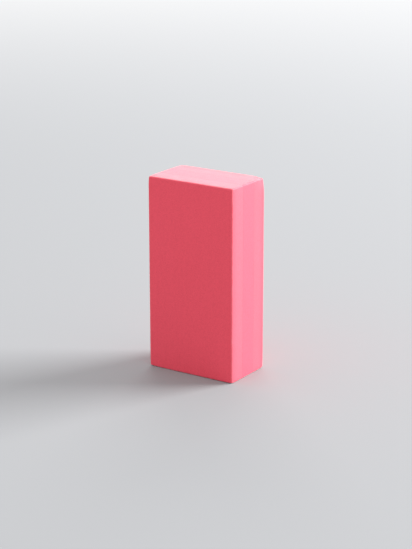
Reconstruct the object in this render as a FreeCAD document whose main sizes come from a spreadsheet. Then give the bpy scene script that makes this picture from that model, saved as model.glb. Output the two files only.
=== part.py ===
"""Foam yoga brick, standing on its small end.

The brick is a stack of three closed-cell EVA foam sheets (plies) that lie parallel to the broad
faces.  Two thin films of adhesive bond the sheets to each other, and after bonding the twelve outer
edges of the stack are rounded over in one pass, so the rounding runs across sheets and films alike.

Frame: millimetres, +Z up along the brick's length, +X across the broad face, +Y through the
thickness from the front broad face to the back one.  The origin is the middle of the lower end.
"""
import FreeCAD, Part
import Sketcher
import os

doc = FreeCAD.newDocument("yoga_brick")

# ---------------------------------------------------------------- driving dimensions
dims = doc.addObject("Spreadsheet::Sheet", "Dims")
DIMENSIONS = [
    # alias, value in mm, what it is
    ("brick_length", 220.0, "long side, upright here (Z)"),
    ("brick_width", 110.0, "broad face, side to side (X)"),
    ("brick_thickness", 65.0, "front broad face to back broad face (Y)"),
    ("edge_radius", 1.5, "rounding of all twelve outer edges"),
    ("film_thickness", 0.2, "adhesive film between two foam sheets"),
]
for row, (alias, value, words) in enumerate(DIMENSIONS, start=1):
    dims.set(f"A{row}", alias)
    dims.set(f"B{row}", repr(value))
    dims.set(f"C{row}", words)
    dims.setAlias(f"B{row}", alias)
doc.recompute()

# The three foam sheets share what the two films leave of the thickness.
PLY = "(Dims.brick_thickness - 2 * Dims.film_thickness) / 3"


def plane_of(body, role):
    """The body's own origin plane of that role."""
    return next(f for f in body.Origin.OriginFeatures if f.Role == role)


def outline(body, name):
    """The brick's outline seen from the front, a rectangle that stands on the X axis."""
    sketch = body.newObject("Sketcher::SketchObject", name)
    sketch.AttachmentSupport = (plane_of(body, "XZ_Plane"), [""])
    sketch.MapMode = "FlatFace"
    half, tall = dims.brick_width / 2, dims.brick_length
    corners = [(-half, 0), (half, 0), (half, tall), (-half, tall)]
    for i in range(4):
        (x0, y0), (x1, y1) = corners[i], corners[(i + 1) % 4]
        sketch.addGeometry(
            Part.LineSegment(FreeCAD.Vector(x0, y0, 0), FreeCAD.Vector(x1, y1, 0)),
            False,
        )
    bottom, right, top, left = range(4)
    for i in range(4):
        sketch.addConstraint(Sketcher.Constraint("Coincident", i, 2, (i + 1) % 4, 1))
    sketch.addConstraint(Sketcher.Constraint("Horizontal", top))
    sketch.addConstraint(Sketcher.Constraint("Vertical", right))
    sketch.addConstraint(Sketcher.Constraint("Vertical", left))
    # the lower side lies on the sketch's X axis, centred on the origin
    sketch.addConstraint(Sketcher.Constraint("Symmetric", bottom, 1, bottom, 2, -1, 1))
    sketch.addConstraint(Sketcher.Constraint("PointOnObject", bottom, 1, -1))
    width = sketch.addConstraint(Sketcher.Constraint("Distance", bottom, dims.brick_width))
    length = sketch.addConstraint(Sketcher.Constraint("Distance", right, dims.brick_length))
    sketch.renameConstraint(width, "outline_width")
    sketch.renameConstraint(length, "outline_length")
    sketch.setExpression("Constraints.outline_width", "Dims.brick_width")
    sketch.setExpression("Constraints.outline_length", "Dims.brick_length")
    return sketch


def edges_along_y(shape):
    """The four short edges through the thickness, at the outline's corners."""
    found = []
    for i, e in enumerate(shape.Edges, start=1):
        a, b = e.Vertexes[0].Point, e.Vertexes[-1].Point
        if abs(a.x - b.x) < 1e-6 and abs(a.z - b.z) < 1e-6:
            found.append(f"Edge{i}")
    return found


def edges_round_face(shape, y):
    """The four edges round the broad face at that y."""
    found = []
    for i, e in enumerate(shape.Edges, start=1):
        if all(abs(v.Point.y - y) < 1e-6 for v in e.Vertexes):
            found.append(f"Edge{i}")
    return found


def sheet(label, thickness, start, broad_face=None):
    """One sheet of the stack: the outline padded through the thickness towards +Y from y = start, with
    the outer edges rounded.  broad_face is "front" or "back" on a sheet that carries a broad face of
    the brick, whose rim is rounded too."""
    body = doc.addObject("PartDesign::Body", label)
    body.Label = label
    sketch = outline(body, label + "_outline")
    doc.recompute()
    pad = body.newObject("PartDesign::Pad", label + "_pad")
    pad.Profile = sketch
    pad.Reversed = True  # the outline faces -Y, and the sheet grows towards +Y
    pad.setExpression("Length", thickness)
    doc.recompute()
    ys = [v.Point.y for v in pad.Shape.Vertexes]
    low, high = min(ys), max(ys)
    if abs(low) > 1e-6 or high <= 0:
        raise RuntimeError(f"{label} grew the wrong way: {low} to {high}")
    edges = edges_along_y(pad.Shape)
    if broad_face:
        edges += edges_round_face(pad.Shape, low if broad_face == "front" else high)
    if len(edges) != (8 if broad_face else 4):
        raise RuntimeError(f"{label} has {len(edges)} edges to round: {edges}")
    rounding = body.newObject("PartDesign::Fillet", label + "_rounding")
    rounding.Base = (pad, edges)
    rounding.setExpression("Radius", "Dims.edge_radius")
    body.Tip = rounding
    body.setExpression("Placement.Base.y", start)
    doc.recompute()
    if not rounding.Shape.Volume < pad.Shape.Volume - 1e-3:
        raise RuntimeError(f"{label}: the rounding took nothing off")
    return body


# ---------------------------------------------------------------- the stack, front to back
FRONT = "-Dims.brick_thickness / 2"
parts = [
    sheet("front_foam_ply", PLY, FRONT, "front"),
    sheet("front_bond_film", "Dims.film_thickness", f"{FRONT} + {PLY}"),
    sheet("middle_foam_ply", PLY, f"{FRONT} + {PLY} + Dims.film_thickness"),
    sheet("back_bond_film", "Dims.film_thickness", f"{FRONT} + 2 * {PLY} + Dims.film_thickness"),
    sheet("back_foam_ply", PLY, f"{FRONT} + 2 * {PLY} + 2 * Dims.film_thickness", "back"),
]
doc.recompute()

# ---------------------------------------------------------------- tests before anything is written
for obj in doc.Objects:
    if "Invalid" in obj.State or "Error" in obj.State:
        raise RuntimeError(f"{obj.Label} failed: {obj.State}")
whole = FreeCAD.BoundBox()
reach = None
for body in parts:
    shape = body.Shape
    if shape.isNull() or not shape.isValid() or len(shape.Solids) != 1:
        raise RuntimeError(f"{body.Label} isn't one valid solid")
    box = shape.BoundBox
    if reach is not None and abs(box.YMin - reach) > 1e-6:
        raise RuntimeError(f"{body.Label} starts at y = {box.YMin}, and its neighbour ends at {reach}")
    reach = box.YMax
    whole.add(box)
    print(
        f"{body.Label}: y {box.YMin:.3f} to {box.YMax:.3f} mm, "
        f"{box.XLength:.2f} x {box.YLength:.3f} x {box.ZLength:.2f} mm, {shape.Volume / 1000:.2f} cm3"
    )
print(f"whole: {whole.XLength:.2f} x {whole.YLength:.2f} x {whole.ZLength:.2f} mm, foot at z = {whole.ZMin:.3f}")
if abs(whole.ZMin) > 1e-6 or abs(whole.XMin + whole.XMax) > 1e-6 or abs(whole.YMin + whole.YMax) > 1e-6:
    raise RuntimeError("the brick doesn't stand on its origin")

# ---------------------------------------------------------------- one file per piece
os.makedirs("parts", exist_ok=True)
for body in parts:
    body.Shape.exportStep(f"parts/{body.Label}.step")
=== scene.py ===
import math

import bpy
import numpy as np
from mathutils import Matrix, Vector, noise


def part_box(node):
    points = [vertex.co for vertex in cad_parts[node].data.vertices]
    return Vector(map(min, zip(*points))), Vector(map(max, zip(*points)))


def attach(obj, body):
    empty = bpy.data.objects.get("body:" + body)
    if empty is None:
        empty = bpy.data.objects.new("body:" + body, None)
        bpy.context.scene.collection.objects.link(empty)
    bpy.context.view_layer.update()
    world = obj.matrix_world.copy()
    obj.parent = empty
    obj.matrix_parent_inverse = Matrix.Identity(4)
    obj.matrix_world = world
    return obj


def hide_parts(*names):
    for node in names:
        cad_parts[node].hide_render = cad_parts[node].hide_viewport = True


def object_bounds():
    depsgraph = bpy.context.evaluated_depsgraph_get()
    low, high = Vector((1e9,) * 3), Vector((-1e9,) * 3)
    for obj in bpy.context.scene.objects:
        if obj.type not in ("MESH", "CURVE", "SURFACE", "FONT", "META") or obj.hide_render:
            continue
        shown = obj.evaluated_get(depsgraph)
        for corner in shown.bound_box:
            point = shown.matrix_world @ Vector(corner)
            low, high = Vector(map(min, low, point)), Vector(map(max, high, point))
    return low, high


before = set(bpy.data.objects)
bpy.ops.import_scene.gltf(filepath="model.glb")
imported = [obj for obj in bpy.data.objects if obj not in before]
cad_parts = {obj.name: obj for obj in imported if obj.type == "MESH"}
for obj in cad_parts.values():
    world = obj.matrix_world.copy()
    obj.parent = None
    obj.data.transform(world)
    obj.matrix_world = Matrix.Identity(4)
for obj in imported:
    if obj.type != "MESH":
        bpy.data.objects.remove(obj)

scene = bpy.context.scene
cad_low, cad_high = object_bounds()

# ------------------------------------------------------------------ sizes
MM = 0.001
LOW = np.array(cad_low[:])
HIGH = np.array(cad_high[:])
LENGTH = HIGH[2] - LOW[2]
RADIUS = 1.5 * MM  # the rounding of the outer edges
ARC = 6  # steps of the rounding in each eighth of a turn
GRID = 2.0 * MM  # size of the faces on the flats
FILM_GRID = 5.0 * MM
LIP = 0.20 * MM  # how far from a bond line a sheet's edge starts to turn in
LIP_DEEP = 0.04 * MM  # how far it turns in
FILM_DEEP = 0.05 * MM  # how far the rim of a bond film lies under the skin

# Corners that handling has pressed in: which corner, how far, and over what reach.
PRESSED = [
    ((1, 1, 1), 1.75, 9.0),
    ((-1, -1, 1), 0.55, 5.5),
    ((1, -1, 1), 0.30, 4.0),
    ((-1, 1, 1), 0.50, 6.0),
    ((1, -1, -1), 0.30, 4.5),
    ((-1, -1, -1), 0.45, 5.0),
    ((1, 1, -1), 0.55, 6.5),
    ((-1, 1, -1), 0.40, 5.0),
]


# ------------------------------------------------------------------ the skin of the brick
def wander(p, size, seed):
    """Smooth noise about -1 to 1 with bumps of that size."""
    return noise.noise(Vector(p) / size + Vector((17.3 * seed, 5.1 * seed, 9.7 * seed)))


def ease(t):
    """From 0 to 1, level at both ends."""
    return t * t * (3 - 2 * t)


def relief(places, out, shares):
    """How far the cut foam stands from the true box, along its ways out: the flats are very slightly uneven and
    fall away towards the edges, and the edges and corners are a little softened by handling."""
    from_edge = np.minimum(places - LOW, HIGH - places)
    fall = (np.exp(-((from_edge / (4.5 * MM)) ** 2)) * (np.abs(out) < 0.7)).sum(1)
    height = -0.08 * MM - 0.04 * MM * fall
    for i, p in enumerate(places):
        height[i] += 0.06 * MM * wander(p, 0.055, 1) + 0.02 * MM * wander(p, 0.017, 2)
        third, second, _ = shares[i]
        if second > 0:
            soft = 0.5 + 0.5 * wander(p, 0.030, 3)
            corner = 0.11 + 0.05 * wander(p, 0.05, 4)
            height[i] -= MM * ((0.03 + 0.09 * soft * soft) * ease(second) + corner * ease(third))
    return height


def pressed(places):
    """How far each place is moved by the pressed corners near it."""
    move = np.zeros_like(places)
    for corner, deep, reach in PRESSED:
        corner = np.array(corner)
        at = np.where(corner > 0, HIGH, LOW)
        share = np.exp(-((places - at) ** 2).sum(1) / (reach * MM) ** 2)
        move -= corner * (deep * MM / math.sqrt(3) * share)[:, None]
    return move


def on_brick(p, low, high, flat_low, flat_high, sunk=0.0):
    """Takes points on the surface of a box to the skin of the rounded brick. flat_low and flat_high say that the
    box's ends in Y are bonded faces, which aren't rounded. Returns the places, the ways out, how near the skin each
    place is (1 on it) and how far round an edge it is (0 on a flat, 1 in the middle of an edge)."""
    inner_low, inner_high = low + RADIUS, high - RADIUS
    if flat_low:
        inner_low[1] = low[1]
    if flat_high:
        inner_high[1] = high[1]
    q = np.clip(p, inner_low, inner_high)
    d = p - q
    size = np.linalg.norm(d, axis=1)
    most = np.abs(d).max(1)
    turn = np.divide(most, size, out=np.ones_like(size), where=size > 0)
    places = q + d * turn[:, None]
    out = np.divide(d, size[:, None], out=np.zeros_like(d), where=size[:, None] > 0)
    skin = np.minimum(most / RADIUS, 1.0) ** 2
    shares = np.sort(np.abs(d) / RADIUS, axis=1)
    edge = np.minimum(1.0, shares[:, 1] + 0.3 * shares[:, 0]) * skin
    moved = places + pressed(places)
    near = skin > 0
    moved[near] += out[near] * (skin[near] * (relief(places[near], out[near], shares[near]) - sunk))[:, None]
    return moved, out, skin, edge


# ------------------------------------------------------------------ meshes
def grid_lines(low, high, low_end, high_end, step):
    """Places of the grid lines from low to high. An end is "round", where they crowd into the rounding, or
    "lip", where they crowd towards a bond line."""

    def ending(kind):
        if kind == "round":
            turns = [RADIUS * (1 - math.tan(math.radians(45 * (ARC - i) / ARC))) for i in range(ARC + 1)]
            return turns + [1.3 * RADIUS]
        return [LIP * t for t in (0.0, 0.12, 0.3, 0.6, 1.0, 2.2)]

    a, b = ending(low_end), ending(high_end)
    first, last = low + a[-1], high - b[-1]
    n = max(2, round((last - first) / step))
    middle = [first + (last - first) * i / n for i in range(1, n)]
    return np.array([low + t for t in a] + middle + [high - t for t in reversed(b)])


def box_surface(counts):
    """The surface of a block of grid points: the points as (i, j, k), and the faces with their side's name,
    wound outwards."""
    index, points, faces, sides = {}, [], [], []

    def point(p):
        if p not in index:
            index[p] = len(points)
            points.append(p)
        return index[p]

    for axis, name in enumerate("xyz"):
        u, v = (axis + 1) % 3, (axis + 2) % 3
        for end in (0, 1):
            fixed = (counts[axis] - 1) * end
            for a in range(counts[u] - 1):
                for b in range(counts[v] - 1):
                    ring = []
                    for da, db in ((0, 0), (1, 0), (1, 1), (0, 1)):
                        p = [0, 0, 0]
                        p[axis], p[u], p[v] = fixed, a + da, b + db
                        ring.append(point(tuple(p)))
                    faces.append(ring if end else ring[::-1])
                    sides.append("-+"[end] + name)
    return np.array(points), faces, sides


def ply(name, node, low_end, high_end):
    """A foam sheet that fills its CAD node's box, with its outer edges rounded and its bonded edges turned in."""
    low, high = (np.array(c[:]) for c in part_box(node))
    lines = [
        grid_lines(low[0], high[0], "round", "round", GRID),
        grid_lines(low[1], high[1], low_end, high_end, GRID),
        grid_lines(low[2], high[2], "round", "round", GRID),
    ]
    points, faces, sides = box_surface([len(x) for x in lines])
    p = np.stack([lines[a][points[:, a]] for a in range(3)], 1)
    places, out, skin, edge = on_brick(p, low, high, low_end == "lip", high_end == "lip")
    for end, plane in ((low_end, low[1]), (high_end, high[1])):
        if end == "lip":
            places[p[:, 1] == plane, 1] = plane  # a bonded face stays flat
            turned = np.clip(1 - np.abs(p[:, 1] - plane) / LIP, 0, 1) ** 1.5
            places -= out * np.array([1, 0, 1]) * (LIP_DEEP * turned * skin)[:, None]
    # painted highlight and wear on the edges: on the right side, the upright edge at the front is painted palest of
    # all edges, and the edge at the top the least
    right, front, top = places[:, 0] - HIGH[0], places[:, 1] - LOW[1], places[:, 2] - HIGH[2]
    most = np.exp(-(right**2 + front**2) / (3.0 * MM) ** 2)
    least = np.exp(-(right**2 + top**2) / (3.0 * MM) ** 2)
    mesh = bpy.data.meshes.new(name)
    mesh.from_pydata(places.tolist(), [], faces)
    mesh.attributes.new("wear_and_edge_highlight", "FLOAT", "POINT").data.foreach_set("value", edge * (1 + 0.9 * most - 0.8 * least))
    ply_map(mesh, lines, points, faces, sides, low_end, high_end)
    return shown(name, mesh)


def film(name, node):
    """A bond film: a thin sheet whose rim follows the skin of the brick, a little under it."""
    low, high = (np.array(c[:]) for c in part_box(node))
    xs = grid_lines(low[0], high[0], "round", "round", FILM_GRID)
    zs = grid_lines(low[2], high[2], "round", "round", FILM_GRID)
    rim = [(x, zs[0]) for x in xs[:-1]] + [(xs[-1], z) for z in zs[:-1]]
    rim += [(x, zs[-1]) for x in xs[:0:-1]] + [(xs[0], z) for z in zs[:0:-1]]
    n = len(rim)
    middle = (low + high) / 2
    sheets = []
    for y in (low[1], high[1]):
        p = np.array([(x, y, z) for x, z in rim])
        edge_on, _, _, _ = on_brick(p, low, high, True, True, FILM_DEEP)
        inset = middle + (edge_on - middle) * np.array([0.90, 1, 0.95])
        inset[:, 1] = edge_on[:, 1] = y
        sheets.append((edge_on, inset))
    places = np.concatenate([sheets[0][0], sheets[1][0], sheets[0][1], sheets[1][1]])
    faces, uv = [], []
    round_rim = np.concatenate([[0], np.cumsum(np.linalg.norm(np.diff(sheets[0][0], axis=0, append=sheets[0][0][:1]), axis=1))])
    round_rim /= round_rim[-1]

    def flat(v):
        """Where a point of the two broad faces lies on the map."""
        x, y, z = places[v]
        return 0.02 + (x - low[0]) * 4 + (0.48 if y > middle[1] else 0.0), 0.06 + (z - low[2]) * 4

    for i in range(n):
        j = (i + 1) % n
        faces.append([i, n + i, n + j, j])
        a, b = 0.02 + 0.96 * round_rim[i], 0.02 + 0.96 * round_rim[i + 1]
        uv += [(a, 0.01), (a, 0.04), (b, 0.04), (b, 0.01)]
        for ring in ([i, j, 2 * n + j, 2 * n + i], [n + j, n + i, 3 * n + i, 3 * n + j]):
            faces.append(ring)
            uv += [flat(v) for v in ring]
    for ring in (list(range(2 * n, 3 * n)), list(range(3 * n, 4 * n))[::-1]):
        faces.append(ring)
        uv += [flat(v) for v in ring]
    mesh = bpy.data.meshes.new(name)
    mesh.from_pydata(places.tolist(), [], faces)
    mesh.uv_layers.new(name="OFBake").data.foreach_set("uv", np.array(uv).ravel())
    return shown(name, mesh)


def along(line, low_round, high_round):
    """Length along the skin at each grid line, which the rounding shortens."""
    places = line.copy()
    for rounded, end, way in ((low_round, line[0], 1), (high_round, line[-1], -1)):
        if rounded:
            depth = (line - end) * way  # from the outer face inwards
            inside = depth < RADIUS
            t = np.clip((RADIUS - depth[inside]) / RADIUS, 0, 1)
            places[inside] = end + way * (RADIUS - RADIUS * np.arctan(t))
    return places


def ply_map(mesh, lines, points, faces, sides, low_end, high_end):
    """The sheet laid out flat, so that no seam crosses a face that shows or an edge round a broad face."""
    s = [
        along(lines[0], True, True),
        along(lines[1], low_end == "round", high_end == "round"),
        along(lines[2], True, True),
    ]
    x0, x1, y0, y1, z0, z1 = s[0][0], s[0][-1], s[1][0], s[1][-1], s[2][0], s[2][-1]
    wide, deep, tall = x1 - x0, y1 - y0, z1 - z0
    gap = 0.012
    layer = mesh.uv_layers.new(name="OFBake")
    uv = np.zeros((len(mesh.loops), 2))
    outer = "-y" if low_end == "round" else "+y" if high_end == "round" else None
    loop = 0
    for ring, side in zip(faces, sides):
        for v in ring:
            i, j, k = points[v]
            x, y, z = s[0][i], s[1][j], s[2][k]
            if outer:
                # a cross: the broad face with the four narrow sides folded out, and the bonded face beside it
                unit = (1 - 2 * gap) / (tall + 2 * deep)
                out = (y - y0) if outer == "-y" else (y1 - y)
                if side == outer:
                    a, b = x, z
                elif side == "-x":
                    a, b = x0 - out, z
                elif side == "+x":
                    a, b = x1 + out, z
                elif side == "-z":
                    a, b = x, z0 - out
                elif side == "+z":
                    a, b = x, z1 + out
                if side[1] == "y" and side != outer:
                    left = gap + (wide + 2 * deep) * unit + gap
                    small = min((1 - gap - left) / wide, (1 - 2 * gap) / tall)
                    uv[loop] = left + (x - x0) * small, gap + (z - z0) * small
                else:
                    uv[loop] = gap + (a - x0 + deep) * unit, gap + (b - z0 + deep) * unit
            else:
                # four strips and the two bonded faces
                unit = (1 - 3 * gap) / (2 * wide if 2 * wide > tall else tall)
                strip = deep * unit + gap
                left = gap + 3 * strip
                small = min((1 - left - 2 * gap) / (2 * wide), (1 - 2 * gap) / tall)
                if side == "-x":
                    uv[loop] = gap + (y - y0) * unit, gap + (z - z0) * unit
                elif side == "+x":
                    uv[loop] = gap + strip + (y - y0) * unit, gap + (z - z0) * unit
                elif side == "-z":
                    uv[loop] = gap + 2 * strip + (y - y0) * unit, gap + (x - x0) * unit
                elif side == "+z":
                    uv[loop] = gap + 2 * strip + (y - y0) * unit, 2 * gap + (wide + x - x0) * unit
                elif side == "-y":
                    uv[loop] = left + (x - x0) * small, gap + (z - z0) * small
                else:
                    uv[loop] = left + gap + (wide + x - x0) * small, gap + (z - z0) * small
            loop += 1
    layer.data.foreach_set("uv", uv.ravel())


def shown(name, mesh):
    """The mesh as an object in the scene, smooth apart from its sharp edges."""
    mesh.validate()
    mesh.update()
    mesh.shade_smooth()
    mesh.set_sharp_from_angle(angle=math.radians(38))
    obj = bpy.data.objects.new(name, mesh)
    scene.collection.objects.link(obj)
    return obj


# ------------------------------------------------------------------ materials
class Shader:
    """A material's nodes, with short ways to add to them."""

    def __init__(self, name):
        self.material = bpy.data.materials.new(name)
        self.material.use_nodes = True
        self.tree = self.material.node_tree
        self.tree.nodes.clear()

    def put(self, socket, value):
        if isinstance(value, bpy.types.NodeSocket):
            self.tree.links.new(value, socket)
        else:
            socket.default_value = value

    def add(self, kind, sockets=None, **settings):
        n = self.tree.nodes.new("ShaderNode" + kind)
        for key, value in settings.items():
            setattr(n, key, value)
        for key, value in (sockets or {}).items():
            self.put(n.inputs[key], value)
        return n

    def math(self, operation, *values):
        n = self.add("Math", operation=operation)
        for socket, value in zip(n.inputs, values):
            self.put(socket, value)
        return n.outputs[0]

    def vector(self, operation, *values):
        n = self.add("VectorMath", operation=operation)
        for socket, value in zip(n.inputs, values):
            self.put(socket, value)
        return n.outputs[0]

    def step(self, value, low, high, to_low=0.0, to_high=1.0):
        """A smooth change from to_low to to_high as the value goes from low to high."""
        sockets = {"Value": value, "From Min": low, "From Max": high, "To Min": to_low, "To Max": to_high}
        return self.add("MapRange", sockets, interpolation_type="SMOOTHSTEP").outputs[0]

    def mix(self, share, a, b):
        n = self.add("Mix", {0: share, 6: a, 7: b}, data_type="RGBA")
        return n.outputs[2]

    def place(self, offset):
        """The place on the piece, in millimetres."""
        at = self.add("TexCoord").outputs["Object"]
        return self.vector("MULTIPLY_ADD", at, (1000.0, 1000.0, 1000.0), offset)

    def noise(self, place, size, detail=2.0, stretch=None):
        """Noise from 0 to 1 with features of that size in millimetres; stretch lengthens them along X, Y or Z."""
        scale = [1.0 / (size * (stretch[a] if stretch else 1.0)) for a in range(3)]
        at = self.vector("MULTIPLY", place, tuple(scale))
        return self.add("TexNoise", {"Vector": at, "Scale": 1.0, "Detail": detail, "Roughness": 0.55}).outputs[0]

    def finish(self, sockets):
        bsdf = self.add("BsdfPrincipled", sockets)
        self.tree.links.new(bsdf.outputs[0], self.add("OutputMaterial").inputs[0])
        return self.material


SKIN = (0.80, 0.061, 0.101)  # next to a broad face, where the foam is densest
CORE = (0.80, 0.081, 0.126)  # further in
# the paler colour of the edges: partly wear, partly a painted highlight
EDGE_WEAR_AND_HIGHLIGHT = (0.75, 0.25, 0.31)
SKIN_DEEP = 12.0  # millimetres over which the one colour goes over into the other


def foam(name, tone, seed, skin=None):
    """Cut closed-cell foam: a fine skin of cut cells with pits and a few larger pores, with painted shade in the cups,
    pits and pores, faint marks of the knife along the length, a slightly cloudy colour and edges painted a little
    paler, partly as wear and partly as a painted highlight. A sheet that carries a broad face is deeper in colour
    next to it: skin gives that face's place along Y in millimetres, and the way into the sheet, 1 or -1."""
    s = Shader(name)
    place = s.place((31.7 * seed, 12.9 * seed, 57.1 * seed))

    # cut cells, of uneven size because the grid they sit on is bent: each is a small cup between thin walls
    bend = s.add("TexNoise", {"Vector": place, "Scale": 0.45, "Detail": 1.0}).outputs[1]
    bent = s.vector("MULTIPLY_ADD", bend, (1.3, 1.3, 1.3), place)
    cups = s.add("TexVoronoi", {"Vector": bent, "Scale": 1 / 0.95, "Smoothness": 0.15}, feature="SMOOTH_F1").outputs["Distance"]
    small_cups = s.add("TexVoronoi", {"Vector": bent, "Scale": 1 / 0.52}, feature="F1").outputs["Distance"]
    cells = s.step(cups, 0.08, 0.60)
    cells = s.math("MULTIPLY_ADD", s.step(small_cups, 0.08, 0.50), 0.45, s.math("MULTIPLY", cells, 0.55))
    fine = s.noise(place, 0.34, 2.0)
    speckle = s.noise(place, 1.5, 1.0)
    mottle = s.noise(place, 3.2, 2.0)

    # many pits the size of a pinprick, and larger pores here and there
    def holes(apart, least, widest, soft):
        """1 inside round holes scattered that many millimetres apart, of sizes up to a share of that, else 0."""
        cell = s.add("TexVoronoi", {"Vector": place, "Scale": 1 / apart}, feature="F1")
        chance = s.add("SeparateColor", {0: cell.outputs["Color"]}).outputs[0]
        inside = s.math("SUBTRACT", s.step(chance, least, 1.0, 0.0, widest), cell.outputs["Distance"])
        return s.step(inside, 0.0, soft)

    pits = holes(0.9, 0.30, 0.24, 0.09)
    pore = holes(4.2, 0.45, 0.105, 0.045)

    # marks of the knife, and cloudiness of the colour
    marks = s.noise(place, 0.9, 1.0, (1.0, 1.0, 55.0))
    wide_marks = s.noise(place, 3.5, 1.0, (1.0, 1.0, 30.0))
    cloud = s.noise(place, 6.5, 3.0)
    wide_cloud = s.noise(place, 42.0, 1.0)

    # painted shade: the colour is darker in the middle of each cup
    shade = s.math("MULTIPLY_ADD", s.math("SUBTRACT", cells, 0.70), 0.36, 1.0)
    variation = ((fine, 0.10), (speckle, 0.22), (mottle, 0.22), (marks, 0.04), (wide_marks, 0.04), (cloud, 0.12), (wide_cloud, 0.07))
    for what, amount in variation:
        shade = s.math("MULTIPLY_ADD", s.math("SUBTRACT", what, 0.5), amount, shade)
    # painted shade: the colour darkens inside the pits and pores
    shade = s.math("MULTIPLY", shade, s.step(pits, 0.0, 1.0, 1.0, 0.66))
    shade = s.math("MULTIPLY", shade, s.step(pore, 0.0, 1.0, 1.0, 0.66))
    # the red of the foam hardly changes where the rest of its colour does
    lightness = s.add("CombineXYZ", {0: s.math("MULTIPLY_ADD", shade, 0.42, 0.58), 1: shade, 2: shade}).outputs[0]
    skin_colour, core_colour, edge_wear_and_highlight_colour = (tuple(c[i] * tone[i] for i in range(3)) for c in (SKIN, CORE, EDGE_WEAR_AND_HIGHLIGHT))
    if skin:
        at, way_in = skin
        depth = s.math("MULTIPLY", s.math("SUBTRACT", s.add("SeparateXYZ", {0: s.place((0.0, 0.0, 0.0))}).outputs[1], at), way_in)
        core_colour = s.mix(s.step(depth, 0.0, SKIN_DEEP), (*skin_colour, 1.0), (*core_colour, 1.0))
    foam_colour = s.vector("MULTIPLY", lightness, core_colour)
    # edges mixed towards a paler colour: partly wear and partly a painted highlight along the edges
    wear_and_edge_highlight = s.add("Attribute", attribute_name="wear_and_edge_highlight", attribute_type="GEOMETRY").outputs["Fac"]
    patchy = s.step(s.noise(place, 7.0, 3.0), 0.30, 0.75, 0.18, 0.38)
    edge_wear_and_highlight = s.math("MULTIPLY", wear_and_edge_highlight, patchy)
    base = s.mix(edge_wear_and_highlight, foam_colour, s.vector("MULTIPLY", lightness, edge_wear_and_highlight_colour))

    rough = s.math("MULTIPLY_ADD", s.math("SUBTRACT", cloud, 0.5), 0.16, 0.60)
    rough = s.math("MULTIPLY_ADD", s.math("SUBTRACT", fine, 0.5), 0.10, rough)
    rough = s.math("MULTIPLY_ADD", pore, 0.15, rough)

    height = s.math("MULTIPLY_ADD", fine, 0.45, cells)
    height = s.math("MULTIPLY_ADD", marks, 0.18, height)
    height = s.math("MULTIPLY_ADD", pits, -1.3, height)
    height = s.math("MULTIPLY_ADD", pore, -3.0, height)
    bump = s.add("Bump", {"Strength": 0.5, "Distance": 0.075 * MM, "Height": height}).outputs[0]
    return s.finish(
        {
            "Base Color": base,
            "Roughness": rough,
            "Normal": bump,
            "IOR": 1.48,
            "Sheen Weight": 0.06,
            "Sheen Roughness": 0.45,
            "Sheen Tint": (1.0, 0.93, 0.94, 1.0),
        }
    )


def adhesive(name, seed):
    """Thin contact adhesive, tinted by the foam: uneven, with small beads along its rim."""
    s = Shader(name)
    place = s.place((11.3 * seed, 41.9 * seed, 23.7 * seed))
    beads = s.noise(place, 1.4, 2.0)
    smear = s.noise(place, 9.0, 2.0)
    base = s.mix(s.step(beads, 0.3, 0.7), (0.58, 0.046, 0.074, 1.0), (0.70, 0.060, 0.094, 1.0))
    rough = s.step(smear, 0.3, 0.7, 0.38, 0.58)
    bump = s.add("Bump", {"Strength": 0.5, "Distance": 0.05 * MM, "Height": beads}).outputs[0]
    return s.finish({"Base Color": base, "Roughness": rough, "Normal": bump, "IOR": 1.5})


# ------------------------------------------------------------------ the pieces
pieces = []
for seed, (piece_name, node_name, ends, tone, skin) in enumerate(
    (
        ("front_foam", "front_foam_ply", ("round", "lip"), (1.0, 1.0, 1.0), (LOW[1] / MM, 1.0)),
        ("middle_foam", "middle_foam_ply", ("lip", "lip"), (0.98, 0.86, 0.93), None),
        ("back_foam", "back_foam_ply", ("lip", "round"), (0.99, 0.985, 0.99), (HIGH[1] / MM, -1.0)),
    )
):
    piece = ply(piece_name, node_name, *ends)
    piece.data.materials.append(foam(piece_name + "_eva", tone, seed + 1, skin))
    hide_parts(node_name)
    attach(piece, "root")
    pieces.append(piece)
for seed, (piece_name, node_name) in enumerate((("front_bond", "front_bond_film"), ("back_bond", "back_bond_film"))):
    piece = film(piece_name, node_name)
    piece.data.materials.append(adhesive(piece_name + "_adhesive", seed + 1))
    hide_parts(node_name)
    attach(piece, "root")
    pieces.append(piece)

# ------------------------------------------------------------------ floor, light and camera
SKY = 1.045
floor_mesh = bpy.data.meshes.new("floor")
floor_mesh.from_pydata([(-30, -30, 0), (30, -30, 0), (30, 30, 0), (-30, 30, 0)], [], [(0, 1, 2, 3)])
floor = bpy.data.objects.new("floor", floor_mesh)
scene.collection.objects.link(floor)
paper = Shader("floor")
# pale paper, which far away runs into the white of the studio
far = paper.add("VectorMath", {0: paper.add("TexCoord").outputs["Object"]}, operation="LENGTH").outputs["Value"]
near_by = paper.add("BsdfDiffuse", {"Color": (0.315, 0.32, 0.33, 1.0)})
far_off = paper.add("Emission", {"Color": (1.0, 1.0, 1.0, 1.0), "Strength": SKY})
swept = paper.add("MixShader", {0: paper.step(far, 0.9, 5.0), 1: near_by.outputs[0], 2: far_off.outputs[0]})
paper.tree.links.new(swept.outputs[0], paper.add("OutputMaterial").inputs[0])
floor_mesh.materials.append(paper.material)

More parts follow.
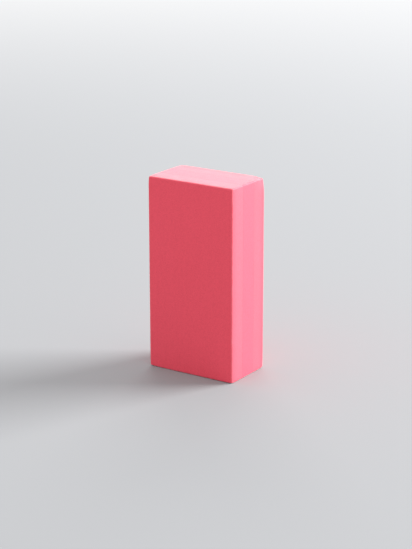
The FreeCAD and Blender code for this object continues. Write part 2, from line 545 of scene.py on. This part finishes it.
world = bpy.data.worlds.new("studio")
world.use_nodes = True
world.node_tree.nodes["Background"].inputs["Color"].default_value = (1.0, 1.0, 1.0, 1)
world.node_tree.nodes["Background"].inputs["Strength"].default_value = SKY
scene.world = world


def softbox(name, azimuth, elevation, power, distance=7.0, size=4.3):
    """A square soft light that faces the brick's middle, from that many degrees from +X towards +Y and up."""
    light = bpy.data.lights.new(name, "AREA")
    light.shape = "SQUARE"
    light.size = size
    light.energy = power
    obj = bpy.data.objects.new(name, light)
    a, e = math.radians(azimuth), math.radians(elevation)
    way = Vector((math.cos(a) * math.cos(e), math.sin(a) * math.cos(e), math.sin(e)))
    obj.location = Vector((0, 0, LENGTH / 2)) + way * distance
    obj.rotation_euler = way.to_track_quat("Z", "Y").to_euler()
    obj.visible_camera = False
    scene.collection.objects.link(obj)
    return obj


softbox("right_light", 50.0, 20.0, 1285.0)
softbox("back_light", 120.0, 22.0, 290.0)

scene.view_settings.view_transform = "Standard"
scene.view_settings.look = "None"

# The camera stands where the picture was taken from.
AZIMUTH, ELEVATION, ROLL = (math.radians(a) for a in (33.563, 16.897, -0.058))
DISTANCE, FOCAL_PX, AIM = 1.8774, 1691.5, (-0.000350, -0.001645)
back = Vector((math.sin(AZIMUTH) * math.cos(ELEVATION), -math.cos(AZIMUTH) * math.cos(ELEVATION), math.sin(ELEVATION)))
right = Vector((math.cos(AZIMUTH), math.sin(AZIMUTH), 0))
up = back.cross(right)
aim = Vector((0, 0, LENGTH / 2)) + right * AIM[0] + up * AIM[1]
turned_right = right * math.cos(ROLL) + up * math.sin(ROLL)
turned_up = up * math.cos(ROLL) - right * math.sin(ROLL)
lens = bpy.data.cameras.new("camera")
lens.sensor_width = 36.0
lens.lens = FOCAL_PX / 549 * 36.0  # the sensor's width lies along the picture's long side
lens.clip_start, lens.clip_end = 0.05, 100.0
camera = bpy.data.objects.new("camera", lens)
camera.matrix_world = Matrix.Translation(aim + back * DISTANCE) @ Matrix((turned_right, turned_up, back)).transposed().to_4x4()
scene.collection.objects.link(camera)
scene.camera = camera

# ------------------------------------------------------------------ last update
bpy.context.view_layer.update()
